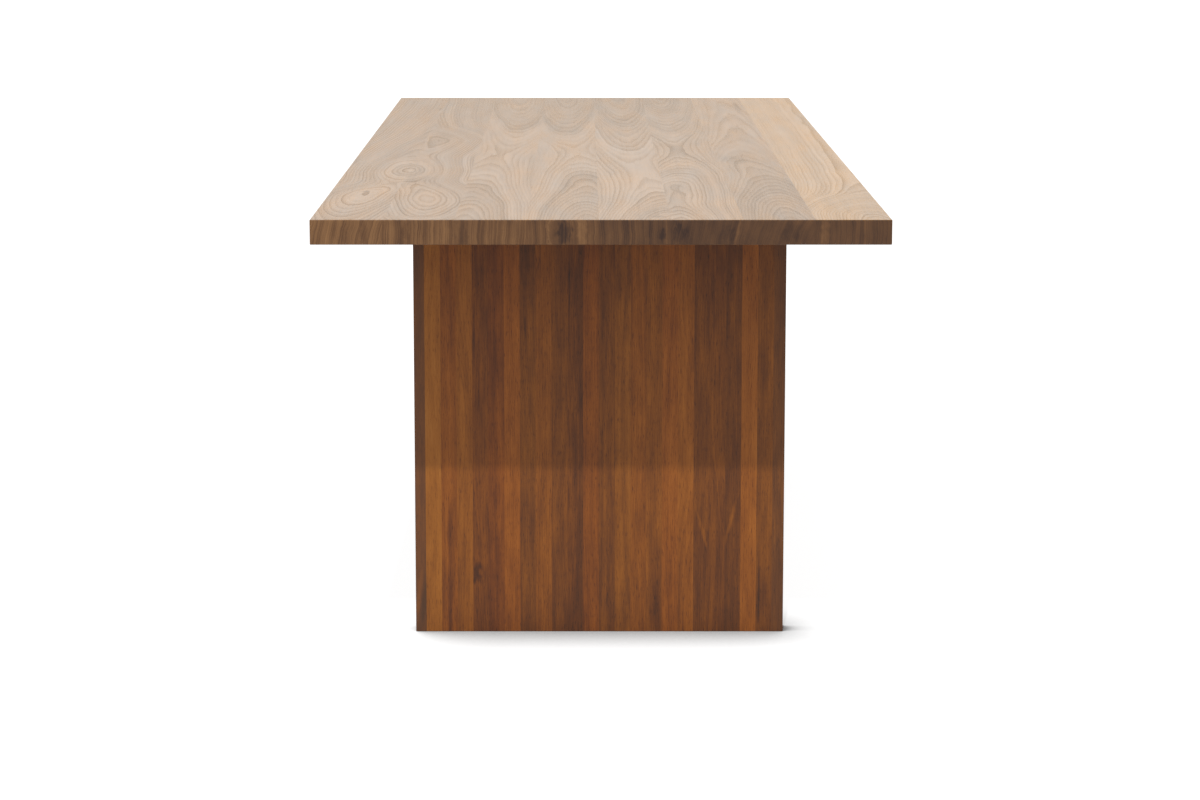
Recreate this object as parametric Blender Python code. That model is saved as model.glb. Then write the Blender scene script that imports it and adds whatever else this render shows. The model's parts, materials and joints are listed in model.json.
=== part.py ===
"""A dining table: an edge-glued walnut top on two panel legs that are glued up from upright staves.

Metres, +Z up. The origin is on the floor under the middle of the table, Y runs along the table and
X across it. The front end is at -Y.
"""
import math

import bmesh
import bpy

# The table as a whole
TABLE_HEIGHT = 0.740
TOP_LENGTH = 2.200
TOP_WIDTH = 0.900
TOP_THICKNESS = 0.039
TOP_BOARD_COUNT = 8
RIGHT_BOARD_WIDTH = 0.118  # the top's board at +X. The others share the rest of the width
END_OVERHANG = 0.305  # from the end of the top to a leg's outer face

# The legs. Each full board of a leg is one stave wide, or two where two staves match. The panel is
# then cut to width at both sides. Boards run from the left, as seen by someone at that end
LEG_THICKNESS = 0.039
STAVE_WIDTH = 0.0264
LEFT_EDGE_WIDTH = 0.0179
RIGHT_EDGE_WIDTH = 0.0463
STAVE_COUNTS = (1, 1, 1, 1, 1, 1, 2, 2, 2, 1, 2, 1, 1, 1, 2, 1)
LEG_TONES = (
    "grey", "pale", "mid", "pale", "dark", "dark", "pale", "mid", "dark",
    "dark", "mid", "mid", "pale", "pale", "dark", "dark", "pale", "mid",
)

# Edges and glue lines of the wood
GLUE_LINE = 0.0003
TOP_ARRIS = 0.0014
LEG_ARRIS = 0.0010
ARRIS_STEPS = 2

# The steel angle behind each leg, bent from plate
ANGLE_FLANGE = 0.050
ANGLE_THICKNESS = 0.005
ANGLE_INNER_BEND = 0.004
ANGLE_CORNER = 0.008
ANGLE_END_INSET = 0.040  # from a leg's side to the end of its angle
BEND_STEPS = 4
CORNER_STEPS = 3

# The screws, their holes and their slots
SCREW_RADIUS = 0.0030
SCREW_LENGTH = 0.034
SCREW_TIP = 0.005
HEAD_RADIUS = 0.0065
HEAD_HEIGHT = 0.0036
HEAD_CROWN = 0.0012
SOCKET_RADIUS = 0.0023
SOCKET_DEPTH = 0.0022
SCREW_INSET_SHARE = 0.6  # of the flange, from the outer side of the bend
SLOT_TRAVEL = 0.008  # how far the wood can carry a screw along its slot
HOLE_CLEARANCE = 0.0006
SEAT_GAP = 0.0003
LEG_SCREW_BOARD_NUMBERS = (3, 9, 15)  # the boards of a leg that take a screw, counted from 0 at the left
ROUND_SIDES = 16
SOCKET_SIDES = 6

CUT_OVERRUN = 0.002
SAME_PLACE = 0.00001
SMOOTH_ANGLE = math.radians(35)

# Values that follow from those
UNDERSIDE = TABLE_HEIGHT - TOP_THICKNESS
HALF_LENGTH = TOP_LENGTH / 2
HALF_WIDTH = TOP_WIDTH / 2
BOARD_WIDTH = (TOP_WIDTH - RIGHT_BOARD_WIDTH) / (TOP_BOARD_COUNT - 1)
LEG_WIDTH = LEFT_EDGE_WIDTH + sum(STAVE_COUNTS) * STAVE_WIDTH + RIGHT_EDGE_WIDTH
LEG_OUTER_FACE = HALF_LENGTH - END_OVERHANG
LEG_INNER_FACE = LEG_OUTER_FACE - LEG_THICKNESS
ANGLE_HALF_LENGTH = LEG_WIDTH / 2 - ANGLE_END_INSET
ANGLE_BACK = LEG_INNER_FACE - SEAT_GAP
ANGLE_CEILING = UNDERSIDE - SEAT_GAP
SCREW_INSET = ANGLE_FLANGE * SCREW_INSET_SHARE
HEAD_SEAT = ANGLE_THICKNESS + SEAT_GAP  # from the angle's outer side to the underside of a head
BORE_RADIUS = SCREW_RADIUS + SEAT_GAP
BORE_DEPTH = SCREW_LENGTH - HEAD_SEAT + SEAT_GAP
SLOT_RADIUS = SCREW_RADIUS + HOLE_CLEARANCE

X, Y, Z = range(3)


def clear_scene():
    for item in list(bpy.data.objects):
        bpy.data.objects.remove(item, do_unlink=True)


def make_material(name, colour, roughness, metallic=0.0):
    material = bpy.data.materials.new(name)
    material.use_nodes = True
    material.diffuse_color = (*colour, 1.0)
    shader = material.node_tree.nodes["Principled BSDF"]
    shader.inputs["Base Color"].default_value = (*colour, 1.0)
    shader.inputs["Roughness"].default_value = roughness
    shader.inputs["Metallic"].default_value = metallic
    return material


def make_object(name, mesh, material=None, holder=None):
    """Turns a bmesh into a named object, placed in its holder's frame."""
    bmesh.ops.recalc_face_normals(mesh, faces=mesh.faces)
    data = bpy.data.meshes.new(name)
    mesh.to_mesh(data)
    mesh.free()
    if material:
        data.materials.append(material)
    return place_object(name, data, holder)


def place_object(name, data, holder=None):
    item = bpy.data.objects.new(name, data)
    item.parent = holder
    bpy.context.collection.objects.link(item)
    return item


def smooth_round_faces(data):
    data.shade_smooth()
    data.set_sharp_from_angle(angle=SMOOTH_ANGLE)


def cut(item, cutter):
    """Cuts an object with a cutter, which stays in the scene as a hidden guide."""
    modifier = item.modifiers.new(cutter.name, "BOOLEAN")
    modifier.operation = "DIFFERENCE"
    modifier.solver = "EXACT"
    modifier.object = cutter


def make_cutter(name, mesh, holder=None):
    cutter = make_object(name, mesh, holder=holder)
    cutter.hide_render = True
    cutter.display_type = "WIRE"
    return cutter


def edges_between(mesh, sides):
    """The edges where two of the given flat sides meet. A side is an axis and its place on it."""

    def lies_on(edge, side):
        axis, place = side
        return all(abs(vertex.co[axis] - place) < SAME_PLACE for vertex in edge.verts)

    return [edge for edge in mesh.edges if sum(lies_on(edge, side) for side in sides) == 2]


def round_edges(mesh, edges, radius, steps):
    bmesh.ops.bevel(mesh, geom=edges, offset=radius, offset_type="OFFSET", segments=steps,
                    profile=0.5, affect="EDGES", clamp_overlap=True)


def wood_board(name, low, high, outer_sides, arris, material, holder=None):
    """A board between two corners, with its edges softened where two of its outer sides meet."""
    mesh = bmesh.new()
    bmesh.ops.create_cube(mesh, size=2)
    for vertex in mesh.verts:
        vertex.co = [high[axis] if vertex.co[axis] > 0 else low[axis] for axis in (X, Y, Z)]
    round_edges(mesh, edges_between(mesh, outer_sides), arris, ARRIS_STEPS)
    return make_object(name, mesh, material, holder)


def glued_spans(widths, start):
    """The left and right side of each board in a glued panel, with half a glue line off each joint."""
    spans = []
    for number, width in enumerate(widths):
        left = start if number == 0 else start + GLUE_LINE / 2
        start += width
        right = start if number == len(widths) - 1 else start - GLUE_LINE / 2
        spans.append((left, right))
    return spans


def panel_sides(spans, number):
    """The outer sides across the panel that belong to one of its boards: the first's and the last's."""
    left, right = spans[number]
    return [(X, left)] * (number == 0) + [(X, right)] * (number == len(spans) - 1)


def top_spans():
    return glued_spans([BOARD_WIDTH] * (TOP_BOARD_COUNT - 1) + [RIGHT_BOARD_WIDTH], -HALF_WIDTH)


def make_top(material):
    spans = top_spans()
    boards = []
    for number, (left, right) in enumerate(spans):
        outer_sides = [(Y, -HALF_LENGTH), (Y, HALF_LENGTH), (Z, UNDERSIDE), (Z, TABLE_HEIGHT)]
        outer_sides += panel_sides(spans, number)
        boards.append(wood_board(
            f"top_board_{number + 1}", (left, -HALF_LENGTH, UNDERSIDE),
            (right, HALF_LENGTH, TABLE_HEIGHT), outer_sides, TOP_ARRIS, material,
        ))
    return boards


def leg_spans():
    """The boards of a leg. Left is at +X for someone who stands at the rear end and looks at it."""
    widths = [LEFT_EDGE_WIDTH, *(count * STAVE_WIDTH for count in STAVE_COUNTS), RIGHT_EDGE_WIDTH]
    return glued_spans(widths[::-1], -LEG_WIDTH / 2)[::-1]


def make_leg(end, holder, tones):
    spans = leg_spans()
    head = UNDERSIDE - SEAT_GAP
    boards = []
    for number, (left, right) in enumerate(spans):
        outer_sides = [(Y, LEG_INNER_FACE), (Y, LEG_OUTER_FACE), (Z, 0)]
        outer_sides += panel_sides(spans[::-1], len(spans) - 1 - number)
        boards.append(wood_board(
            f"{end}_leg_stave_{number + 1:02d}", (left, LEG_INNER_FACE, 0),
            (right, LEG_OUTER_FACE, head), outer_sides, LEG_ARRIS, tones[LEG_TONES[number]], holder,
        ))
    return boards


def leg_screw_places():
    """Where the screws into a leg cross its angle: x, and the height of their axes."""
    spans = leg_spans()
    return [(sum(spans[number]) / 2, ANGLE_CEILING - SCREW_INSET) for number in LEG_SCREW_BOARD_NUMBERS]


def top_screw_places(turn):
    """One screw at the middle of each top board that the angle crosses with room for its slot, as
    seen from an end that is turned by that angle."""
    room = ANGLE_HALF_LENGTH - ANGLE_CORNER - SLOT_TRAVEL / 2 - SLOT_RADIUS
    centres = [math.cos(turn) * sum(span) / 2 for span in top_spans()]
    return [(x, ANGLE_BACK - SCREW_INSET) for x in centres if abs(x) < room]


def add_slot(mesh, travel, radius, reach, to_place):
    """Adds a slot-shaped cutter, long in X, between the depths in reach. to_place(x, y, depth) sets it."""
    half = ROUND_SIDES // 2
    corners = []
    for step in range(2 * (half + 1)):
        side = 1 if step <= half else -1
        angle = math.pi * (step - (side < 0)) / half - math.pi / 2
        corners.append((side * travel / 2 + radius * math.cos(angle), radius * math.sin(angle)))
    rings = [[mesh.verts.new(to_place(x, y, depth)) for x, y in corners] for depth in reach]
    mesh.faces.new(rings[0])
    mesh.faces.new(rings[1])
    for near, far in zip(zip(rings[0], rings[0][1:] + rings[0][:1]),
                         zip(rings[1], rings[1][1:] + rings[1][:1])):
        mesh.faces.new((*near, *far[::-1]))


def screw_holes(name, travel, radius, reach, holder):
    """A cutter for the holes of every screw at one end. reach is the depths between which it cuts,
    from the wood's face towards a screw's point. A leg's middle hole stays round and holds it."""
    mesh = bmesh.new()
    middle = len(LEG_SCREW_BOARD_NUMBERS) // 2
    for number, (across, height) in enumerate(leg_screw_places()):
        add_slot(mesh, 0 if number == middle else travel, radius, reach,
                 lambda x, y, depth: (across + x, LEG_INNER_FACE + depth, height + y))
    for across, along in top_screw_places(holder.rotation_euler.z):
        add_slot(mesh, travel, radius, reach,
                 lambda x, y, depth: (across + x, along + y, UNDERSIDE + depth))
    bmesh.ops.remove_doubles(mesh, verts=mesh.verts, dist=SAME_PLACE)
    return make_cutter(name, mesh, holder)


def make_angle(end, holder, material):
    """An angle bent from plate, along the corner between the leg's inner face and the underside."""
    toe, foot = ANGLE_BACK - ANGLE_FLANGE, ANGLE_CEILING - ANGLE_FLANGE
    face, floor = ANGLE_BACK - ANGLE_THICKNESS, ANGLE_CEILING - ANGLE_THICKNESS
    outline = ((ANGLE_BACK, ANGLE_CEILING), (ANGLE_BACK, foot), (face, foot),
               (face, floor), (toe, floor), (toe, ANGLE_CEILING))
    mesh = bmesh.new()
    section = mesh.faces.new([mesh.verts.new((-ANGLE_HALF_LENGTH, y, z)) for y, z in outline])
    swept = bmesh.ops.extrude_face_region(mesh, geom=[section])["geom"]
    moved = [part for part in swept if isinstance(part, bmesh.types.BMVert)]
    bmesh.ops.translate(mesh, verts=moved, vec=(2 * ANGLE_HALF_LENGTH, 0, 0))
    round_edges(mesh, edges_between(mesh, [(Y, ANGLE_BACK), (Z, ANGLE_CEILING)]),
                ANGLE_INNER_BEND + ANGLE_THICKNESS, BEND_STEPS)
    round_edges(mesh, edges_between(mesh, [(Y, face), (Z, floor)]), ANGLE_INNER_BEND, BEND_STEPS)
    ends = [(X, -ANGLE_HALF_LENGTH), (X, ANGLE_HALF_LENGTH)]
    round_edges(mesh, edges_between(mesh, [*ends, (Y, toe), (Z, foot)]), ANGLE_CORNER, CORNER_STEPS)
    angle = make_object(f"{end}_steel_angle", mesh, material, holder)
    smooth_round_faces(angle.data)
    return angle


def screw_data(material):
    """A pan-head wood screw along -Z, with the underside of its head at the origin."""
    outline = (
        (0, HEAD_HEIGHT),
        (HEAD_RADIUS - HEAD_CROWN, HEAD_HEIGHT),
        (HEAD_RADIUS, HEAD_HEIGHT - HEAD_CROWN),
        (HEAD_RADIUS, 0),
        (SCREW_RADIUS, 0),
        (SCREW_RADIUS, SCREW_TIP - SCREW_LENGTH),
        (0, -SCREW_LENGTH),
    )
    mesh = bmesh.new()
    points = [mesh.verts.new((radius, 0, height)) for radius, height in outline]
    lines = [mesh.edges.new(pair) for pair in zip(points, points[1:])]
    bmesh.ops.spin(mesh, geom=points + lines, cent=(0, 0, 0), axis=(0, 0, 1),
                   angle=math.tau, steps=ROUND_SIDES)
    bmesh.ops.remove_doubles(mesh, verts=mesh.verts, dist=SAME_PLACE)
    body = make_object("screw", mesh, material)
    recess = bmesh.new()
    bmesh.ops.create_cone(recess, cap_ends=True, segments=SOCKET_SIDES, radius1=SOCKET_RADIUS,
                          radius2=SOCKET_RADIUS, depth=2 * SOCKET_DEPTH)
    bmesh.ops.translate(recess, verts=recess.verts, vec=(0, 0, HEAD_HEIGHT))
    socket = make_cutter("screw_socket", recess)
    cut(body, socket)
    whole = bpy.data.meshes.new_from_object(body.evaluated_get(bpy.context.evaluated_depsgraph_get()))
    smooth_round_faces(whole)
    for item in (body, socket):
        bpy.data.objects.remove(item, do_unlink=True)
    return whole


def drive_screws(end, holder, data):
    """Places the screws, into the leg with their points towards +Y and into the top towards +Z."""
    for number, (x, z) in enumerate(leg_screw_places(), 1):
        screw = place_object(f"{end}_leg_screw_{number}", data, holder)
        screw.location = (x, ANGLE_BACK - HEAD_SEAT, z)
        screw.rotation_euler.x = math.radians(90)
    for number, (x, y) in enumerate(top_screw_places(holder.rotation_euler.z), 1):
        screw = place_object(f"{end}_top_screw_{number}", data, holder)
        screw.location = (x, y, ANGLE_CEILING - HEAD_SEAT)
        screw.rotation_euler.x = math.radians(180)


def make_end(end, turn, top_boards, tones, steel, screw):
    """One leg with its angle and screws, modelled for the rear end and turned with its holder."""
    holder = place_object(f"{end}_end", None)
    holder.rotation_euler.z = turn
    leg_boards = make_leg(end, holder, tones)
    angle = make_angle(end, holder, steel)
    cut(angle, screw_holes(f"{end}_slots", SLOT_TRAVEL, SLOT_RADIUS,
                           (-HEAD_SEAT - CUT_OVERRUN, CUT_OVERRUN), holder))
    bores = screw_holes(f"{end}_bores", 0, BORE_RADIUS, (-CUT_OVERRUN, BORE_DEPTH), holder)
    for board in [leg_boards[number] for number in LEG_SCREW_BOARD_NUMBERS] + top_boards:
        cut(board, bores)
    drive_screws(end, holder, screw)


def make_table():
    tones = {
        "pale": make_material("walnut_pale", (0.27, 0.100, 0.030), 0.42),
        "mid": make_material("walnut_mid", (0.21, 0.077, 0.027), 0.42),
        "dark": make_material("walnut_dark", (0.16, 0.062, 0.026), 0.42),
        "grey": make_material("walnut_grey", (0.13, 0.066, 0.037), 0.42),
    }
    steel = make_material("black_steel", (0.020, 0.020, 0.021), 0.50, 0.3)
    zinc = make_material("zinc_plate", (0.52, 0.52, 0.50), 0.35, 1.0)
    top_boards = make_top(make_material("walnut_top", (0.23, 0.090, 0.034), 0.36))
    screw = screw_data(zinc)
    make_end("front", math.pi, top_boards, tones, steel, screw)
    make_end("rear", 0, top_boards, tones, steel, screw)


clear_scene()
make_table()
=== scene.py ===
"""The looks of the dining table: oiled walnut planks, black steel angles and zinc-plated screws.

Metres, +Z up. The front end is at -Y. Every plank has its own frame: its left edge, its near or lower
end and its face are at zero, X runs across it, Y along its grain and Z up out of its face.
"""

import json
import math
import random
from dataclasses import dataclass

import bmesh
import bpy
from mathutils import Matrix, Vector


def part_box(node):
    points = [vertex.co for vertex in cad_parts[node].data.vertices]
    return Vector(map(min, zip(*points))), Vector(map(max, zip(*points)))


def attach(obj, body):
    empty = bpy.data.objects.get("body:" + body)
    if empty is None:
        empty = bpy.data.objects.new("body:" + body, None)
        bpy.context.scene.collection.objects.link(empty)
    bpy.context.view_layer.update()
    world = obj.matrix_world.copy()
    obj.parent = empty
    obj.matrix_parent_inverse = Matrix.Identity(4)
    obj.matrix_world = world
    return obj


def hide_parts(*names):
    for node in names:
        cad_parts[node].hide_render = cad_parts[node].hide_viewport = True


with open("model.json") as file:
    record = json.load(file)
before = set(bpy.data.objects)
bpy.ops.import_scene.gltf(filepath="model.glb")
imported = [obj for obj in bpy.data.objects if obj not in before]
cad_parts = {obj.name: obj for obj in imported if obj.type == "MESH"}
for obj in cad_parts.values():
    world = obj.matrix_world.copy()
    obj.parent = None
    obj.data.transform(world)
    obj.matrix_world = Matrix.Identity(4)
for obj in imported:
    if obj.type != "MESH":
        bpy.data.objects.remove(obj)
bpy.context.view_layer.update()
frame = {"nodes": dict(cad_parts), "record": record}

# Camera, from the corners of the table in the photograph
CAMERA_PLACE = (-0.0272, -5.3838, 1.2964)
CAMERA_PITCH = math.radians(8.14)  # below the horizon
CAMERA_LENS = 84.0
CAMERA_SHIFT = (0.0139, -0.12)

# Light
SKY_LIGHT = 0.87  # the even light of the studio, where 1 is white
KEY_LIGHT = 1.6
KEY_ELEVATION = math.radians(53.8)
KEY_TURN = math.radians(-8)  # from straight in front of the table, towards its left
KEY_SPREAD = math.radians(1.2)
FLOOR_REACH = 40.0
FLOOR_SIDES = 64
FLOOR_COLOUR = (0.6, 0.6, 0.6, 1)
SEEN_FLOOR_COLOUR = (0.25, 0.25, 0.25, 1)
SEEN_FLOOR_GLOW = 0.87
CONTACT_REACH = 0.17  # how far things above the floor still shade it softly
CONTACT_SAMPLES = 16
CONTACT_SHARES = (0.40, 0.91)  # the open share of the sky where that shadow is darkest, and where it ends
SOFT_LIGHT_SIDE = (-0.5, 0, 1)  # the painted contact shadow on the floor leans as if its soft light came more from the left

# Planks. They meet without a visible glue line, and their outer edges are broken by a small arris
STAVE_WIDTH = 0.0264
TOP_ARRIS = 0.0014
LEG_ARRIS = 0.0010
ARRIS_STEPS = 4
SAME_PLACE = 0.00001  # nearer than this, two places are the same
SHARP_FROM = math.radians(35)
BAKE_MARGIN = 0.006  # between the strips of a plank in its texture, as a share of the texture
TOP_FOLDS = 3  # a plank's texture is folded into so many lengths
STAVE_FOLDS = 3
BACK_BAKE_SHARE = 0.7  # the fineness of a plank's back in its texture, against its face
GLUED_BAKE_SHARE = 0.1  # the same for its glued sides, which don't show
MM = 0.001

# The grain, in millimetres. A patch has its size across the plank, along it and into it
HEART_SWELL = 350  # the length of the swells in the course of the heart
RING_SWELLS = (32, 340, 32)
RING_SWELL_DEPTH = 2.8  # how far those patches push the growth rings aside
RING_NICKS = (8, 90, 8)
RING_NICK_DEPTH = 0.7
BAND_WIDTH = 12
BAND_CRISPNESS = 0.74
WARM_BAND_WIDTH = 17
WARM_BAND_SHARE = 0.5  # the strength of the warm bands, against that of the warm patches
WARM_PATCHES = (34, 230, 34)
FIBRES = (0.9, 60, 0.9)
FIBRE_CRISPNESS = 0.6
LATE_WOOD_CURVE = 2.5  # how suddenly a ring darkens towards its outer side
FAINTEST_LINE = 0.4  # the strength of the faintest growth line, against the strongest
MEAN_LINE = 0.22
PORE_EDGE = (0.15, 0.5)  # the noise where a pore starts, and where it is at its deepest
MARK_RAGS = (6, 30, 6)
MARK_RAG_DEPTH = 0.7
MARK_EDGE = (0.25, 1.1)  # half sizes from a mark's middle, where it starts to fade and where it ends

# The sawn ends, in the same way
END_RING_SWELLS = (22, 60, 22)
END_RING_SWELL_DEPTH = 3
END_RING = 3.1  # the width of a growth ring there
END_RING_TONE = 0.12
END_LATE_WOOD_CURVE = 2.0
END_STRIPE_WIDTH = 3.1
END_STRIPE_CRISPNESS = 0.75
END_STRIPE_TONE = 0.42
END_SWELL_WIDTH = 13
END_SWELL_TONE = 0.34
END_GRIT = (0.7, 20, 2.2)
END_GRIT_TONE = 0.12
END_CLOUDS = (16, 60, 40)
END_CLOUD_TONE = 0.22
END_MARK_RAGS = (5, 60, 9)

# Tone, gloss and relief of the wood
MID_TONE = 0.5
SIDE_TONE = 0.40  # the tone that the planks' narrow sides and backs are drawn to
EVEN_MIDDLE = 0.75  # how near its middle a plank with painted end shade keeps its tone, from 0 at an end to 1
WARM_DULLING = 0.20
FAR_DULLING = 0.02
PORE_DULLING = 0.04
END_DULLING = 0.2
SHEEN_TINT = (1.0, 0.68, 0.36, 1)
SHEEN_ROUGHNESS = 0.36
FIBRE_RELIEF = 0.35  # the height of the fibres, against the depth of the pores
RELIEF_STRENGTH = 0.5
SIDE_EDGE = (1.5, 0.5)  # arrises below the face, where the side's look ends and where the face's starts
END_EDGE = (0.15, 0.6)  # arrises from an end, where the end's look ends and where the face's starts

# Metal
METAL_CLOUDS = (30, 30, 30)
METAL_SCUFFS = (1.5, 25, 1.5)
SCUFF_EDGE = (0.35, 0.6)
METAL_GRIT_TONE = 0.2
METAL_CLOUD_TONE = 0.25
METAL_SCUFF_TONE = 0.3
METAL_DARKEST = 0.8  # a share of the metal's colour
METAL_PALEST = 1.25
METAL_GRIT_DULLING = 0.06
METAL_CLOUD_DULLING = 0.08
METAL_RELIEF = 0.0001
METAL_RELIEF_STRENGTH = 0.4
BLACK_COAT = (0.020, 0.020, 0.021)
BLACK_COAT_ROUGHNESS = 0.5
BLACK_COAT_SPECKLE = 0.5
ZINC = (0.52, 0.52, 0.50)
ZINC_ROUGHNESS = 0.34
ZINC_SPECKLE = 0.3

X, Y, Z = range(3)


class Wire:
    """A shader socket that takes part in sums, so that shader maths reads as it is written."""

    def __init__(self, shader, socket):
        self.shader, self.socket = shader, socket

    def __add__(self, other):
        return self.shader.maths("ADD", self, other)

    def __sub__(self, other):
        return self.shader.maths("SUBTRACT", self, other)

    def __rsub__(self, other):
        return self.shader.maths("SUBTRACT", other, self)

    def __mul__(self, other):
        return self.shader.maths("MULTIPLY", self, other)

    def __truediv__(self, other):
        return self.shader.maths("DIVIDE", self, other)

    def __pow__(self, other):
        return self.shader.maths("POWER", self, other)

    __radd__ = __add__
    __rmul__ = __mul__


class Shader:
    """The node tree of a material, a lamp or the world, built from expressions."""

    def __init__(self, owner):
        owner.use_nodes = True
        self.tree = owner.node_tree
        self.tree.nodes.clear()

    def node(self, kind, settings=None, sockets=None, output=0):
        """Adds a node: first its settings, then the values or links of its sockets. Gives one output."""
        made = self.tree.nodes.new(kind)
        for name, value in (settings or {}).items():
            if name == "stops":
                self.set_stops(made.color_ramp, *value)
            else:
                setattr(made, name, value)
        for name, value in (sockets or {}).items():
            if isinstance(value, Wire):
                self.tree.links.new(value.socket, made.inputs[name])
            else:
                made.inputs[name].default_value = value
        return Wire(self, made.outputs[output]) if made.outputs else None

    @staticmethod
    def set_stops(ramp, interpolation, stops):
        ramp.interpolation = interpolation
        while len(ramp.elements) < len(stops):
            ramp.elements.new(1.0)
        for element, (position, colour) in zip(ramp.elements, stops):
            element.position = position
        for element, (position, colour) in zip(ramp.elements, stops):
            element.color = (*colour, 1.0)

    def maths(self, operation, *values):
        return self.node("ShaderNodeMath", {"operation": operation}, dict(enumerate(values)))

    def vector_maths(self, operation, *values):
        return self.node("ShaderNodeVectorMath", {"operation": operation}, dict(enumerate(values)))

    def split(self, vector):
        made = self.node("ShaderNodeSeparateXYZ", None, {0: vector}).socket.node
        return [Wire(self, output) for output in made.outputs]

    def ease(self, value, low, high):
        """0 below low and 1 above high, with a smooth change between them."""
        return self.node("ShaderNodeMapRange", {"interpolation_type": "SMOOTHSTEP"},
                         {"Value": value, "From Min": low, "From Max": high})

    def ramp(self, value, stops, interpolation="EASE"):
        return self.node("ShaderNodeValToRGB", {"stops": (interpolation, stops)}, {0: value})

    def blend(self, factor, first, second, mode="MIX"):
        return self.node("ShaderNodeMix", {"data_type": "RGBA", "blend_type": mode},
                         {0: factor, 6: first, 7: second}, 2)

    def blotches(self, place, size, seed, detail=2.0, roughness=0.5):
        """Noise about zero, within -1 and 1, with patches of about that size along each axis."""
        scaled = self.vector_maths("MULTIPLY", place, [1 / length for length in size])
        moved = self.vector_maths("ADD", scaled, (seed * 7.31 % 97, seed * 3.17 % 89, seed * 5.53 % 83))
        noise = self.node("ShaderNodeTexNoise", {"noise_dimensions": "3D"},
                          {"Vector": moved, "Scale": 1.0, "Detail": detail, "Roughness": roughness})
        return noise * 2 - 1

    def waver(self, value, size, seed, detail=2.0, roughness=0.5):
        """Noise about zero along one value, with swells of about that size."""
        noise = self.node("ShaderNodeTexNoise", {"noise_dimensions": "1D"},
                          {"W": value / size + seed * 13.7 % 71, "Scale": 1.0, "Detail": detail,
                           "Roughness": roughness})
        return noise * 2 - 1

    def surface(self, material_output, sockets):
        shader = self.node("ShaderNodeBsdfPrincipled", None, sockets)
        self.node(material_output, None, {"Surface": shader})


# How a plank was sawn. All lengths are in millimetres, in the plank's own frame

@dataclass
class Mark:
    """A knot, stain or streak: its middle, its half sizes, what it adds to the tone, how far it leans
    and how far it pushes the growth rings aside."""

    across: float
    along: float
    half_width: float
    half_length: float
    tone: float
    lean: float = 0.0
    swirl: float = 0.0


@dataclass
class Sawing:
    """Where the heart of the log lay under a plank's face, and what its wood is like."""

    seed: int
    heart: tuple  # (along, across, depth) of the heart at a few stations
    tones: tuple  # (distance from the heart, tone) of the growth bands, 0 dark and 1 pale
    end_heart: tuple = (60, 160)  # (across, depth) of the heart in the sawn end
    end_tone: float = 0.5
    end_figure: float = 1.0  # how strong the stripes in its sawn ends are
    grey: float = 0.0  # how far its face is drawn to grey
    painted_near_light: float = 0.0  # painted light: how much paler it is at the near end than at the far end, for the light on the top falling off away from the front
    dull: float = 0.0  # how much rougher its face is than the others'
    tint: tuple = (1, 1, 1, 1)
    ring: float = 4.4  # the width of a growth ring
    figure: float = 1.0  # how strong its growth lines and bands are
    wander: float = 4.0  # how far its heart wanders sideways
    marks: tuple = ()
    end_marks: tuple = ()


@dataclass
class Finish:
    """The colours and the gloss of planks that were sanded and oiled together."""

    palette: tuple
    roughness: float
    dulling: float  # how much rougher dark wood is than pale wood
    grain_dulling: float  # the same for its fine grain
    index: float  # the oil's index of refraction
    sheen: float  # of the fine fibres, seen along the face
    bands: float  # the contrast of the growth bands
    lines: float  # how much the growth lines darken it
    streaks: tuple  # (width, length, contrast)
    fibres: float  # the contrast of the fibres
    patches: tuple  # (width, length, contrast)
    warmth: float  # the contrast of warm, less glossy bands and patches
    pores: tuple  # (width, length, contrast)
    colouring: float  # how much of the fine grain is in the colour, the rest being in the gloss
    far_calm: float  # how much weaker the grain is at the far end
    painted_end_shade: float  # painted shade: how much darker a plank is at its ends than in its middle, for a leg's shade under the top and near the floor
    side_calm: float  # how far its narrow sides and its back are drawn to one tone
    side_tint: tuple
    arris: float
    bump: float  # the height of its fibres and pores


HEART_REACH = 160.0  # the largest distance from the heart that a plank's ramps hold

TOP_PALETTE = (
    (0.0, (0.030, 0.022, 0.020)), (0.3, (0.115, 0.060, 0.028)), (0.5, (0.190, 0.092, 0.030)),
    (1.0, (0.400, 0.180, 0.032)),
)
LEG_PALETTE = (
    (0.0, (0.030, 0.013, 0.008)), (0.3, (0.109, 0.033, 0.009)), (0.5, (0.206, 0.063, 0.010)),
    (0.7, (0.300, 0.099, 0.015)), (1.0, (0.420, 0.170, 0.040)),
)
END_PALETTE = (
    (0.0, (0.030, 0.013, 0.008)), (0.5, (0.110, 0.050, 0.020)), (1.0, (0.230, 0.115, 0.046)),
)
LEG_GREY = (0.105, 0.050, 0.024, 1)

TOP_FINISH = Finish(
    TOP_PALETTE, roughness=0.240, dulling=0.19, grain_dulling=0.155, index=1.33, sheen=0.38, bands=0.40,
    lines=0.86, streaks=(3, 300, 0.30), fibres=0.30, patches=(26, 150, 0.12), pores=(0.6, 12, 0.20),
    warmth=0.24, colouring=0.27, far_calm=0.66, painted_end_shade=0.0, side_calm=0.7,
    side_tint=(0.94, 0.80, 0.78, 1), arris=TOP_ARRIS, bump=0.00001,
)
LEG_FINISH = Finish(
    LEG_PALETTE, roughness=0.47, dulling=0.10, grain_dulling=0.10, index=1.33, sheen=0.0, bands=0.12,
    lines=0.08, streaks=(4.5, 140, 0.12), fibres=0.11, patches=(13, 70, 0.17), pores=(0.7, 13, 0.25),
    warmth=0.08, colouring=1.0, far_calm=0.0, painted_end_shade=0.10, side_calm=0.1,
    side_tint=(1, 1, 1, 1), arris=LEG_ARRIS, bump=0.00008,
)


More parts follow.
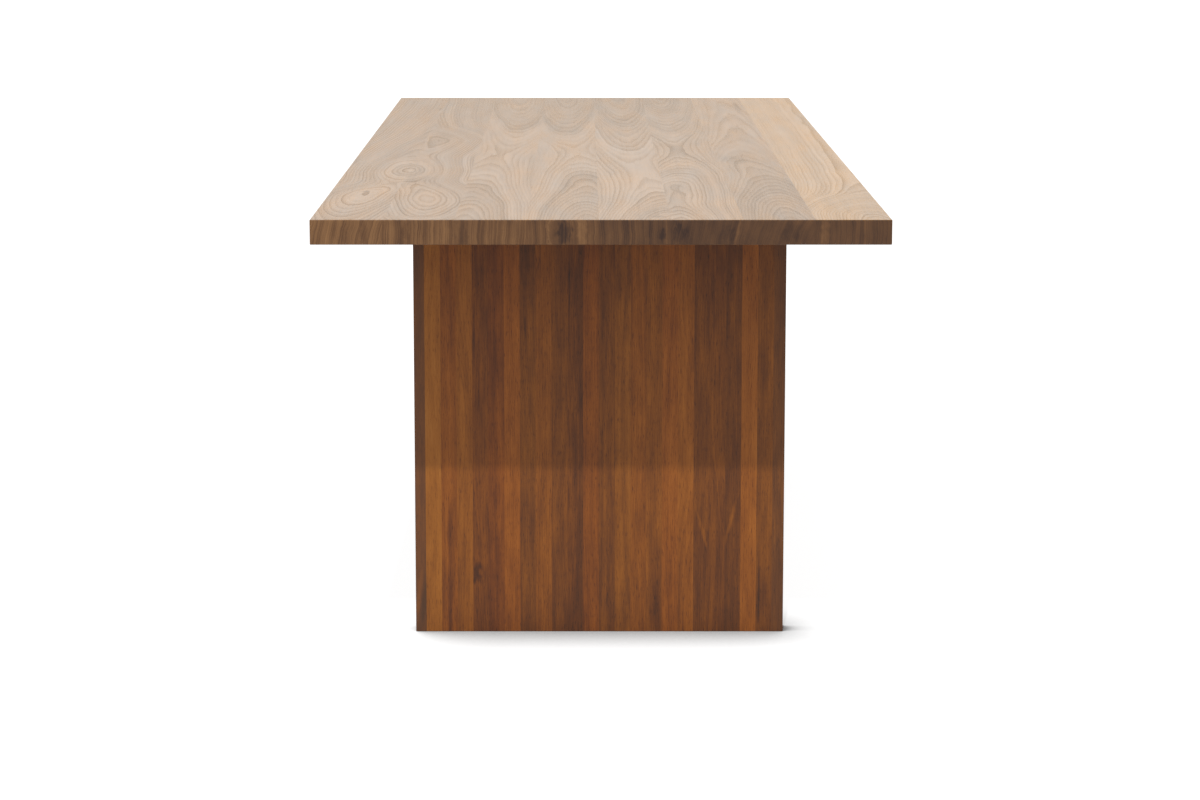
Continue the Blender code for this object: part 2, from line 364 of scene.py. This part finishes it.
def growth(shader, sawing, length, u, v, height, place):
    """The distance from the heart of the log, with the wander that makes real growth rings uneven.
    A colour ramp holds the heart's course, with offsets across from -HEART_REACH to twice HEART_REACH."""
    far = HEART_REACH
    stops = [(along / length, ((across + far) / (3 * far), depth / far, 0))
             for along, across, depth in sawing.heart]
    course = shader.ramp(v / length, stops, "CARDINAL")
    across_share, depth_share, _ = shader.split(course)
    sideways = shader.waver(v, HEART_SWELL, sawing.seed, 3) * sawing.wander
    du = u + sideways - (across_share * (3 * far) - far)
    dz = height + depth_share * far
    radius = shader.maths("SQRT", du * du + dz * dz)
    uneven = shader.blotches(place, RING_SWELLS, sawing.seed + 1, 2) * RING_SWELL_DEPTH
    ragged = shader.blotches(place, RING_NICKS, sawing.seed + 2, 2) * RING_NICK_DEPTH
    return radius + uneven + ragged


def mark_shade(shader, mark, u, v, place, rags, seed):
    """1 in the middle of a mark and 0 outside it, with a ragged edge."""
    du = (u - mark.across - (v - mark.along) * mark.lean) / mark.half_width
    dv = (v - mark.along) / mark.half_length
    ragged = shader.blotches(place, rags, seed, 2) * MARK_RAG_DEPTH
    reach = shader.maths("SQRT", du * du + dv * dv) + ragged
    return 1 - shader.ease(reach, *MARK_EDGE)


def end_grain(shader, sawing, u, height, place):
    """The colour of the sawn ends: growth rings as arcs about the heart, with grit and clouds."""
    seed = sawing.seed
    depth = 0 - height
    across, deep = sawing.end_heart
    du, dz = u - across, depth - deep
    uneven = shader.blotches(place, END_RING_SWELLS, seed + 9) * END_RING_SWELL_DEPTH
    radius = shader.maths("SQRT", du * du + dz * dz) + uneven
    shades = []
    for number, mark in enumerate(sawing.end_marks):
        shade = mark_shade(shader, mark, u, depth, place, END_MARK_RAGS, seed + 60 + number)
        shades.append(shade * mark.tone)
        if mark.swirl:
            radius = radius + shade * mark.swirl
    rings = radius / END_RING
    late = (rings - shader.maths("FLOOR", rings)) ** END_LATE_WOOD_CURVE
    stripes = shader.waver(radius, END_STRIPE_WIDTH, seed + 10, 4, END_STRIPE_CRISPNESS)
    grit = shader.blotches(place, END_GRIT, seed + 11, 2)
    clouds = shader.blotches(place, END_CLOUDS, seed + 12, 2)
    swells = shader.waver(radius, END_SWELL_WIDTH, seed + 13, 2)
    figure = stripes * END_STRIPE_TONE + swells * END_SWELL_TONE - late * END_RING_TONE
    tone = sawing.end_tone + figure * sawing.end_figure + grit * END_GRIT_TONE + clouds * END_CLOUD_TONE
    for shade in shades:
        tone = tone + shade
    return shader.ramp(tone, END_PALETTE, "LINEAR")


def walnut(name, sawing, finish, length):
    """Oiled walnut for one plank: growth bands, ring lines, fibres, pores and its marks."""
    material = bpy.data.materials.new(name)
    shader = Shader(material)
    corner = shader.node("ShaderNodeTexCoord", output="Object")
    place = shader.vector_maths("MULTIPLY", corner, (1 / MM, 1 / MM, 1 / MM))
    u, v, height = shader.split(place)
    seed = sawing.seed

    radius = growth(shader, sawing, length, u, v, height, place)
    shades = []
    for number, mark in enumerate(sawing.marks):
        shade = mark_shade(shader, mark, u, v, place, MARK_RAGS, seed + 40 + number)
        shades.append(shade * mark.tone)
        if mark.swirl:
            radius = radius + shade * mark.swirl
    band_stops = [(min(1.0, distance / HEART_REACH), (tone, tone, tone))
                  for distance, tone in sawing.tones]
    tone, _, _ = shader.split(shader.ramp(radius / HEART_REACH, band_stops))
    bands = shader.waver(radius, BAND_WIDTH, seed + 3, 4, BAND_CRISPNESS)

    rings = radius / sawing.ring
    ring_number = shader.maths("FLOOR", rings)
    late = (rings - ring_number) ** LATE_WOOD_CURVE
    strength = shader.node("ShaderNodeTexWhiteNoise", {"noise_dimensions": "1D"}, {"W": ring_number + seed})
    line = late * (strength * (1 - FAINTEST_LINE) + FAINTEST_LINE)

    streak_width, streak_length, streak_contrast = finish.streaks
    streaks = shader.blotches(place, (streak_width, streak_length, streak_width), seed + 5, 3, 0.6)
    patch_width, patch_length, patch_contrast = finish.patches
    patches = shader.blotches(place, (patch_width, patch_length, patch_width), seed + 7, 2) * patch_contrast
    warm_bands = shader.waver(radius, WARM_BAND_WIDTH, seed + 14, 3, 0.6)
    warm_patches = shader.blotches(place, WARM_PATCHES, seed + 15, 2)
    warmth = (warm_bands * WARM_BAND_SHARE + warm_patches) * finish.warmth
    pore_width, pore_length, pore_contrast = finish.pores
    pore_noise = shader.blotches(place, (pore_width, pore_length, pore_width), seed + 8, 1)
    pores = shader.ease(pore_noise, *PORE_EDGE)
    fibres = shader.blotches(place, FIBRES, seed + 6, 3, FIBRE_CRISPNESS)

    along = v / length
    # Painted shade: a plank is darker at both ends than in its middle, for the shade on a leg under the top
    # and near the floor.
    middle = along * (1 - along) * 4
    # Painted light: a board is paler at its near end than at its far end, for the light on the top falling
    # off away from the front.
    tone = tone + (0.5 - along) * sawing.painted_near_light + (middle - EVEN_MIDDLE) * finish.painted_end_shade + patches
    for shade in shades:
        tone = tone + shade
    figure = (bands * finish.bands - (line - MEAN_LINE) * finish.lines) * sawing.figure
    grain = figure + streaks * streak_contrast + fibres * finish.fibres - pores * pore_contrast
    grain = grain * (1 - along * finish.far_calm)
    roughness = (finish.roughness + sawing.dull - (tone - MID_TONE) * finish.dulling
                 - grain * finish.grain_dulling + warmth * WARM_DULLING + (along - 0.5) * FAR_DULLING)

    edge = finish.arris / MM
    is_upper = shader.ease(height, *(-edge * arrises for arrises in SIDE_EDGE))
    tone = tone - (1 - is_upper) * (tone - SIDE_TONE) * finish.side_calm + grain * finish.colouring + warmth
    plain = shader.ramp(tone, finish.palette, "LINEAR")
    tint = shader.blend(is_upper, finish.side_tint, sawing.tint)
    face = shader.blend(1.0, plain, tint, "MULTIPLY")
    if sawing.grey:
        face = shader.blend(sawing.grey, face, LEG_GREY)
    end_edge = [edge * arrises for arrises in END_EDGE]
    is_end = 1 - shader.ease(v, *end_edge) * shader.ease(length - v, *end_edge)
    end = end_grain(shader, sawing, u, height, place)

    roughness = roughness + pores * PORE_DULLING + is_end * END_DULLING
    relief = fibres * FIBRE_RELIEF - pores
    normal = shader.node("ShaderNodeBump", None,
                         {"Strength": RELIEF_STRENGTH, "Distance": finish.bump, "Height": relief})
    shader.surface("ShaderNodeOutputMaterial", {
        "Base Color": shader.blend(is_end, face, end), "Roughness": roughness, "IOR": finish.index,
        "Normal": normal, "Sheen Weight": finish.sheen, "Sheen Roughness": SHEEN_ROUGHNESS,
        "Sheen Tint": SHEEN_TINT,
    })
    return material


# The eight boards of the top, from the left, as the growth lines in the photograph show them
TOP_SAWINGS = (
    Sawing(11, ((0, 45, 70), (200, 50, 48), (360, 65, 40), (500, 100, 55), (690, 112, 25), (900, 108, 58),
                (1200, 130, 70), (1600, 150, 82), (2200, 160, 86)),
           ((20, .60), (32, .47), (45, .56), (60, .48), (80, .46), (110, .50)),
           (480, 120), 0.77, painted_near_light=.15, dull=.003, ring=5.6, figure=1.45,
           marks=(Mark(60, 370, 6, 14, -.28, swirl=-6), Mark(107, 1900, 4, 34, -.2),
                  Mark(2, 860, 9, 90, -.15), Mark(45, 270, 10, 40, .12)),
           end_marks=(Mark(54, 20, 7, 34, -.12), Mark(84, 22, 8, 34, -.14))),
    Sawing(12, ((0, 58, 75), (50, 58, 62), (240, 58, 42), (400, 40, 48), (520, 10, 50), (690, 0, 25),
                (900, 4, 58), (1100, 20, 52), (1260, 20, 50), (1500, -40, 70), (2200, -60, 80)),
           ((20, .60), (32, .47), (45, .56), (60, .46), (80, .47), (110, .48)),
           (-390, 10), 0.67, painted_near_light=.13, dull=.003, ring=4.8, figure=1.5,
           marks=(Mark(28, 1230, 34, 140, -.17), Mark(27, 530, 34, 95, -.14)),
           end_marks=(Mark(36, 18, 9, 34, -.18), Mark(96, 20, 10, 34, .12))),
    Sawing(13, ((0, 15, 45), (250, 15, 62), (500, 17, 80), (900, 40, 100), (1200, 60, 92), (1450, 67, 78),
                (1800, 60, 60), (2200, 55, 48)),
           ((45, .47), (58, .50), (68, .47), (78, .42), (85, .56), (100, .59), (125, .50)),
           (460, 40), 0.61, painted_near_light=.10,
           end_marks=(Mark(12, 20, 11, 34, -.16),)),
    Sawing(14, ((0, 92, 30), (300, 92, 60), (640, 90, 80), (1000, 75, 98), (1370, 55, 80), (1700, 52, 62),
                (2200, 50, 45)),
           ((45, .46), (60, .46), (70, .45), (79, .42), (85, .55), (100, .59), (125, .52)),
           (-320, 30), 0.52, painted_near_light=.10,
           end_marks=(Mark(38, 20, 8, 26, .10, swirl=9), Mark(58, 18, 15, 30, -.36),
                      Mark(86, 20, 10, 34, .22))),
    Sawing(15, ((0, 118, 50), (160, 118, 78), (400, 100, 105), (800, 70, 110), (1100, 62, 96),
                (1490, 62, 80), (1800, 60, 62), (2200, 60, 50)),
           ((45, .46), (62, .47), (76, .43), (84, .53), (94, .51), (105, .57), (125, .56)),
           (-410, 35), 0.36, painted_near_light=.13, figure=1.25,
           marks=(Mark(92, 40, 16, 20, -.2), Mark(45, 480, 34, 220, .08)),
           end_marks=(Mark(98, 22, 8, 12, -.25),)),
    Sawing(16, ((0, 12, 48), (160, 14, 60), (350, 22, 64), (500, 27, 67), (700, 40, 84), (1000, 45, 100),
                (1370, 42, 88), (1810, 40, 62), (2200, 40, 45)),
           ((45, .44), (58, .46), (62, .47), (68, .53), (78, .49), (86, .44), (92, .55), (105, .50)),
           (400, 90), 0.26, end_figure=0.5, painted_near_light=.16, ring=3.6, figure=1.3,
           end_marks=(Mark(13, 22, 13, 20, -.24), Mark(88, 20, 14, 16, -.12),
                      Mark(103, 18, 3, 30, .30, lean=-.22))),
    Sawing(17, ((0, 72, 28), (300, 72, 55), (570, 72, 80), (860, 50, 92), (1200, 60, 108), (1600, 70, 116),
                (2200, 60, 124)),
           ((30, .46), (60, .42), (80, .41), (88, .49), (106, .50), (116, .58)),
           (370, 140), 0.33, end_figure=0.45, painted_near_light=.08, dull=.01, figure=0.9,
           marks=(Mark(30, 860, 30, 90, -.14), Mark(95, 1950, 9, 150, -.2)),
           end_marks=(Mark(74, 20, 20, 20, -.13),)),
    Sawing(18, ((0, 92, 25), (130, 95, 50), (330, 115, 100), (700, 125, 110), (2200, 125, 112)),
           ((30, .64), (60, .68), (90, .70), (120, .72), (150, .72)),
           (-60, 18), 0.35, end_figure=0.75, painted_near_light=.06, dull=.030, tint=(1.07, 1.11, 0.90, 1),
           figure=1.3, wander=3,
           end_marks=(Mark(14, 20, 9, 34, .26),)),
)

# The staves of a leg, from the left, by the tone of their wood
TONES = {"pale": 0.65, "warm": 0.57, "honey": 0.53, "mid": 0.48, "brown": 0.43, "dark": 0.38, "deep": 0.34,
         "grey": 0.35}
STAVE_TONES = (
    "grey", "pale", "mid", "warm", "dark", "dark", "honey", "brown", "mid", "dark", "deep", "brown",
    "dark", "mid", "mid", "mid", "honey", "warm", "deep", "dark", "deep", "warm", "brown", "dark",
)
STAVE_GREYS = {0: 0.5, 23: 0.25}
STAVE_MIDDLE = 13
STAVE_STATIONS = (0, 180, 360, 540, 701)  # along a stave, where its heart's place is drawn
STAVE_HEART_OFFSETS = (25, 110)  # from a stave's middle to its heart, to one side
STAVE_HEART_DEPTHS = (25, 90)
STAVE_HEART_SPREAD = 7  # from that place, at each station
STAVE_BANDS = range(15, 160, 12)  # distances from the heart where a stave's tone is drawn
STAVE_TONE_SPREAD = 0.03
STAVE_RED_SPREAD = 0.04
STAVE_END_DARKENING = 0.05
STAVE_RINGS = (2.2, 3.2)
STAVE_WANDER = 1.6
FRONT_STAVE_MARKS = {
    0: (Mark(5, 60, 5, 80, .14, lean=.12), Mark(13, 45, 6, 90, -.2, lean=.12)),
    2: (Mark(13, 60, 5, 170, -.12), Mark(14, 175, 5, 50, -.14)),
    4: (Mark(8, 103, 15, 23, -.30, swirl=9), Mark(12, 104, 5, 9, .22), Mark(3.2, 530, 1.5, 60, -.2)),
    7: (Mark(13, 650, 20, 90, -.14), Mark(9, 520, 2, 30, -.15)),
    10: (Mark(3.2, 585, 1.5, 90, -.2),),
    15: (Mark(19, 60, 8, 150, -.10),),
    18: (Mark(17, 168, 4, 46, .14, lean=-.28),),
    20: (Mark(10, 192, 4, 56, .14, lean=.25),),
    22: (Mark(5, 78, 2.2, 70, -.2),),
}


def stave_sawing(number, end_seed, marks):
    """A stave's sawing: narrow, so its grain runs straight, with a heart well to one side or below."""
    rng = random.Random(end_seed * 100 + number)
    tone = TONES[STAVE_TONES[number]]

    def near(value, spread):
        return value + rng.uniform(-spread, spread)

    across = rng.choice((-1, 1)) * rng.uniform(*STAVE_HEART_OFFSETS) + STAVE_MIDDLE
    depth = rng.uniform(*STAVE_HEART_DEPTHS)
    heart = tuple((along, near(across, STAVE_HEART_SPREAD), near(depth, STAVE_HEART_SPREAD))
                  for along in STAVE_STATIONS)
    tones = tuple((distance, near(tone, STAVE_TONE_SPREAD)) for distance in STAVE_BANDS)
    red = near(0, STAVE_RED_SPREAD)
    return Sawing(end_seed * 100 + number, heart, tones, (across, depth), tone - STAVE_END_DARKENING,
                  grey=STAVE_GREYS.get(number, 0.0), tint=(1 + red * 0.5, 1 - red, 1 - red, 1),
                  ring=rng.uniform(*STAVE_RINGS), wander=STAVE_WANDER, marks=marks)


def round_edges(mesh, edges, radius):
    bmesh.ops.bevel(mesh, geom=edges, offset=radius, offset_type="OFFSET", segments=ARRIS_STEPS,
                    profile=0.5, affect="EDGES", clamp_overlap=True)


def edges_between(mesh, sides):
    """The edges where two of the given flat sides meet. A side is an axis and its place on it."""
    def lies_on(edge, side):
        return all(abs(vertex.co[side[0]] - side[1]) < SAME_PLACE for vertex in edge.verts)
    return [edge for edge in mesh.edges if sum(lies_on(edge, side) for side in sides) == 2]


def lay_out_texture(mesh, width, length, thickness, folds, open_sides):
    """Folds a plank's long faces into strips that fill a square texture, the face the finest."""
    layer = mesh.loops.layers.uv.new("OFBake")
    shares = {"face": width, "back": width * BACK_BAKE_SHARE}
    for side, is_open in zip(("left", "right"), open_sides):
        shares[side] = thickness if is_open else thickness * GLUED_BAKE_SHARE
    fold = length / folds
    rows = {}
    start = BAKE_MARGIN
    total = folds * sum(shares.values()) + thickness
    room = 1 - (4 * folds + 2) * BAKE_MARGIN
    for number in range(folds):
        for side, share in shares.items():
            height = share / total * room
            rows[side, number] = (start, height)
            start += height + BAKE_MARGIN
    end_row = (start, thickness / total * room)
    run = 1 - 2 * BAKE_MARGIN
    for piece in mesh.faces:
        normal, middle = piece.normal, piece.calc_center_median()
        axis = max(range(3), key=lambda candidate: abs(normal[candidate]))
        number = min(folds - 1, int(middle.y / fold))
        if axis == Z:
            row, across, size = rows["face" if normal.z > 0 else "back", number], X, width
        elif axis == X:
            row, across, size = rows["right" if normal.x > 0 else "left", number], Z, thickness
        for loop in piece.loops:
            place = loop.vert.co
            if axis == Y:
                far = 0.5 * (normal.y > 0)
                loop[layer].uv = (BAKE_MARGIN + far + place.x / width * (0.5 - 2 * BAKE_MARGIN),
                                  end_row[0] + (place.z / thickness + 1) * end_row[1])
            else:
                share = place[across] / size + (across == Z)
                loop[layer].uv = (BAKE_MARGIN + (place.y - number * fold) / fold * run,
                                  row[0] + share * row[1])


def plank(name, size, arris, open_sides, folds, material):
    """A plank in its own frame, with an arris along its ends and along each side that is open."""
    width, length, thickness = size
    mesh = bmesh.new()
    bmesh.ops.create_cube(mesh, size=1)
    for vertex in mesh.verts:
        vertex.co = ((vertex.co.x + 0.5) * width, (vertex.co.y + 0.5) * length,
                     (vertex.co.z - 0.5) * thickness)
    sides = [(Y, 0), (Y, length), (Z, 0), (Z, -thickness)]
    sides += [(X, 0)] * open_sides[0] + [(X, width)] * open_sides[1]
    round_edges(mesh, edges_between(mesh, sides), arris)
    for number in range(1, folds):
        bmesh.ops.bisect_plane(mesh, geom=mesh.verts[:] + mesh.edges[:] + mesh.faces[:],
                               plane_co=(0, length * number / folds, 0), plane_no=(0, 1, 0))
    bmesh.ops.recalc_face_normals(mesh, faces=mesh.faces)
    lay_out_texture(mesh, width, length, thickness, folds, open_sides)
    data = bpy.data.meshes.new(name)
    mesh.to_mesh(data)
    mesh.free()
    data.shade_smooth()
    data.set_sharp_from_angle(angle=SHARP_FROM)
    data.materials.append(material)
    item = bpy.data.objects.new(name, data)
    bpy.context.collection.objects.link(item)
    weighted = item.modifiers.new("flat faces stay flat", "WEIGHTED_NORMAL")
    weighted.weight = 100
    weighted.keep_sharp = True
    return item


def fit_piece(item, place, slot, *nodes):
    item.matrix_world = place
    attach(item, "root")
    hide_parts(*nodes)


def make_top():
    count = len(TOP_SAWINGS)
    for number, sawing in enumerate(TOP_SAWINGS):
        node = f"top_board_{number + 1}"
        low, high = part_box(node)
        open_sides = (number == 0, number == count - 1)
        left = low.x if open_sides[0] else (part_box(f"top_board_{number}")[1].x + low.x) / 2
        right = high.x if open_sides[1] else (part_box(f"top_board_{number + 2}")[0].x + high.x) / 2
        size = (right - left, high.y - low.y, high.z - low.z)
        wood = walnut(f"walnut_{node}", sawing, TOP_FINISH, size[1] / MM)
        item = plank(f"oiled_{node}", size, TOP_ARRIS, open_sides, TOP_FOLDS, wood)
        fit_piece(item, Matrix.Translation((left, low.y, high.z)), "walnut_top", node)


def leg_staves(end, turn):
    """Each stave of a leg: its node, and its left and right edge as seen by someone at that end."""
    toward = math.cos(turn)
    names = sorted(name for name in frame["nodes"] if name.startswith(f"{end}_leg_stave_"))
    spans = []
    for name in names:
        low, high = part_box(name)
        spans.append(sorted((low.x * toward, high.x * toward)))
    joints = [spans[0][0]] + [(a[1] + b[0]) / 2 for a, b in zip(spans, spans[1:])] + [spans[-1][1]]
    for name, left, right in zip(names, joints, joints[1:]):
        count = max(1, round((right - left) / STAVE_WIDTH))
        for number in range(count):
            start = left + number * STAVE_WIDTH
            yield name, start, right if number == count - 1 else start + STAVE_WIDTH


def make_leg(end, turn, seed, marks):
    record_slots = {row["node"]: row["material_slot"] for row in frame["record"]["subparts"]}
    staves = list(leg_staves(end, turn))
    outward = Matrix.Rotation(turn, 4, "Z") @ Matrix.Rotation(math.radians(90), 4, "X")
    for number, (node, left, right) in enumerate(staves):
        low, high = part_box(node)
        open_sides = (number == 0, number == len(staves) - 1)
        size = (right - left, high.z - low.z, high.y - low.y)
        sawing = stave_sawing(number, seed, marks.get(number, ()))
        wood = walnut(f"walnut_{end}_{number + 1:02d}", sawing, LEG_FINISH, size[1] / MM)
        item = plank(f"oiled_{end}_stave_{number + 1:02d}", size, LEG_ARRIS, open_sides, STAVE_FOLDS, wood)
        corner = Vector((left * math.cos(turn), low.y if turn == 0 else high.y, low.z))
        fit_piece(item, Matrix.Translation(corner) @ outward, record_slots[node], node)


def metal(name, colour, roughness, metallic, speckle, seed):
    """Coated or plated metal with a fine texture and slight clouding."""
    material = bpy.data.materials.new(name)
    shader = Shader(material)
    corner = shader.node("ShaderNodeTexCoord", output="Object")
    place = shader.vector_maths("MULTIPLY", corner, (1 / MM, 1 / MM, 1 / MM))
    grit = shader.blotches(place, (speckle,) * 3, seed, 2)
    cloud = shader.blotches(place, METAL_CLOUDS, seed + 1, 2)
    scuffs = shader.ease(shader.blotches(place, METAL_SCUFFS, seed + 2, 3), *SCUFF_EDGE)
    shade = MID_TONE + grit * METAL_GRIT_TONE + cloud * METAL_CLOUD_TONE + scuffs * METAL_SCUFF_TONE
    dark = [share * METAL_DARKEST for share in colour]
    pale = [min(1, share * METAL_PALEST) for share in colour]
    base = shader.blend(shade, (*dark, 1), (*pale, 1))
    dullness = roughness + grit * METAL_GRIT_DULLING + cloud * METAL_CLOUD_DULLING
    normal = shader.node("ShaderNodeBump", None,
                         {"Strength": METAL_RELIEF_STRENGTH, "Distance": METAL_RELIEF, "Height": grit})
    shader.surface("ShaderNodeOutputMaterial", {
        "Base Color": base, "Roughness": dullness, "Metallic": metallic, "Normal": normal,
    })
    return material


def finish_metal():
    coat = metal("black_powder_coat", BLACK_COAT, BLACK_COAT_ROUGHNESS, 0.0, BLACK_COAT_SPECKLE, 71)
    zinc = metal("bright_zinc", ZINC, ZINC_ROUGHNESS, 1.0, ZINC_SPECKLE, 72)
    for name, item in frame["nodes"].items():
        chosen = coat if name.endswith("_angle") else zinc if "_screw_" in name else None
        if chosen:
            item.data.materials.clear()
            item.data.materials.append(chosen)


def seen_directly(shader):
    """1 for the rays that show a white background: from the camera, in gloss and through glass."""
    path = shader.node("ShaderNodeLightPath").socket.node
    rays = [Wire(shader, path.outputs[f"Is {kind} Ray"]) for kind in ("Camera", "Glossy", "Transmission")]
    return shader.maths("MINIMUM", rays[0] + rays[1] + rays[2], 1.0)


def make_sky():
    world = bpy.data.worlds.new("studio")
    bpy.context.scene.world = world
    shader = Shader(world)
    strength = SKY_LIGHT + seen_directly(shader) * (1 - SKY_LIGHT)
    sky = shader.node("ShaderNodeBackground", None, {"Color": (1, 1, 1, 1), "Strength": strength})
    shader.node("ShaderNodeOutputWorld", None, {"Surface": sky})


def make_floor():
    mesh = bmesh.new()
    bmesh.ops.create_circle(mesh, cap_ends=True, segments=FLOOR_SIDES, radius=FLOOR_REACH)
    data = bpy.data.meshes.new("floor")
    mesh.to_mesh(data)
    mesh.free()
    floor = bpy.data.objects.new("floor", data)
    bpy.context.collection.objects.link(floor)
    material = bpy.data.materials.new("pale_floor")
    shader = Shader(material)
    side = shader.vector_maths("NORMALIZE", SOFT_LIGHT_SIDE)
    # The floor seen directly glows white, and a painted contact shadow from ambient occlusion darkens that
    # glow near the table.
    open_share = shader.node("ShaderNodeAmbientOcclusion", {"samples": CONTACT_SAMPLES},
                             {"Distance": CONTACT_REACH, "Normal": side}, "AO")
    darkest, end = CONTACT_SHARES
    clear = shader.node("ShaderNodeMapRange", None,
                        {"Value": open_share, "From Min": darkest, "From Max": end})
    shade = shader.blend(clear, (0, 0, 0, 1), (1, 1, 1, 1))
    lit = shader.node("ShaderNodeBsdfDiffuse", None, {"Color": FLOOR_COLOUR})
    faint = shader.node("ShaderNodeBsdfDiffuse", None, {"Color": SEEN_FLOOR_COLOUR})
    glow = shader.node("ShaderNodeEmission", None, {"Color": shade, "Strength": SEEN_FLOOR_GLOW})
    seen = shader.node("ShaderNodeAddShader", None, {0: faint, 1: glow})
    both = shader.node("ShaderNodeMixShader", None, {0: seen_directly(shader), 1: lit, 2: seen})
    shader.node("ShaderNodeOutputMaterial", None, {"Surface": both})
    data.materials.append(material)


def make_key_light():
    data = bpy.data.lights.new("key", "SUN")
    data.energy = KEY_LIGHT
    data.angle = KEY_SPREAD
    lamp = bpy.data.objects.new("key", data)
    lamp.rotation_euler = (math.pi / 2 - KEY_ELEVATION, 0, KEY_TURN)
    bpy.context.collection.objects.link(lamp)


def make_camera():
    data = bpy.data.cameras.new("camera")
    data.lens = CAMERA_LENS
    data.shift_x, data.shift_y = CAMERA_SHIFT
    camera = bpy.data.objects.new("camera", data)
    camera.location = CAMERA_PLACE
    camera.rotation_euler = (math.pi / 2 - CAMERA_PITCH, 0, 0)
    bpy.context.collection.objects.link(camera)
    bpy.context.scene.camera = camera


make_camera()
make_sky()
make_floor()
make_key_light()
make_top()
make_leg("front", 0, 3, FRONT_STAVE_MARKS)
make_leg("rear", math.pi, 4, {})
finish_metal()
bpy.context.scene.view_settings.view_transform = "Standard"
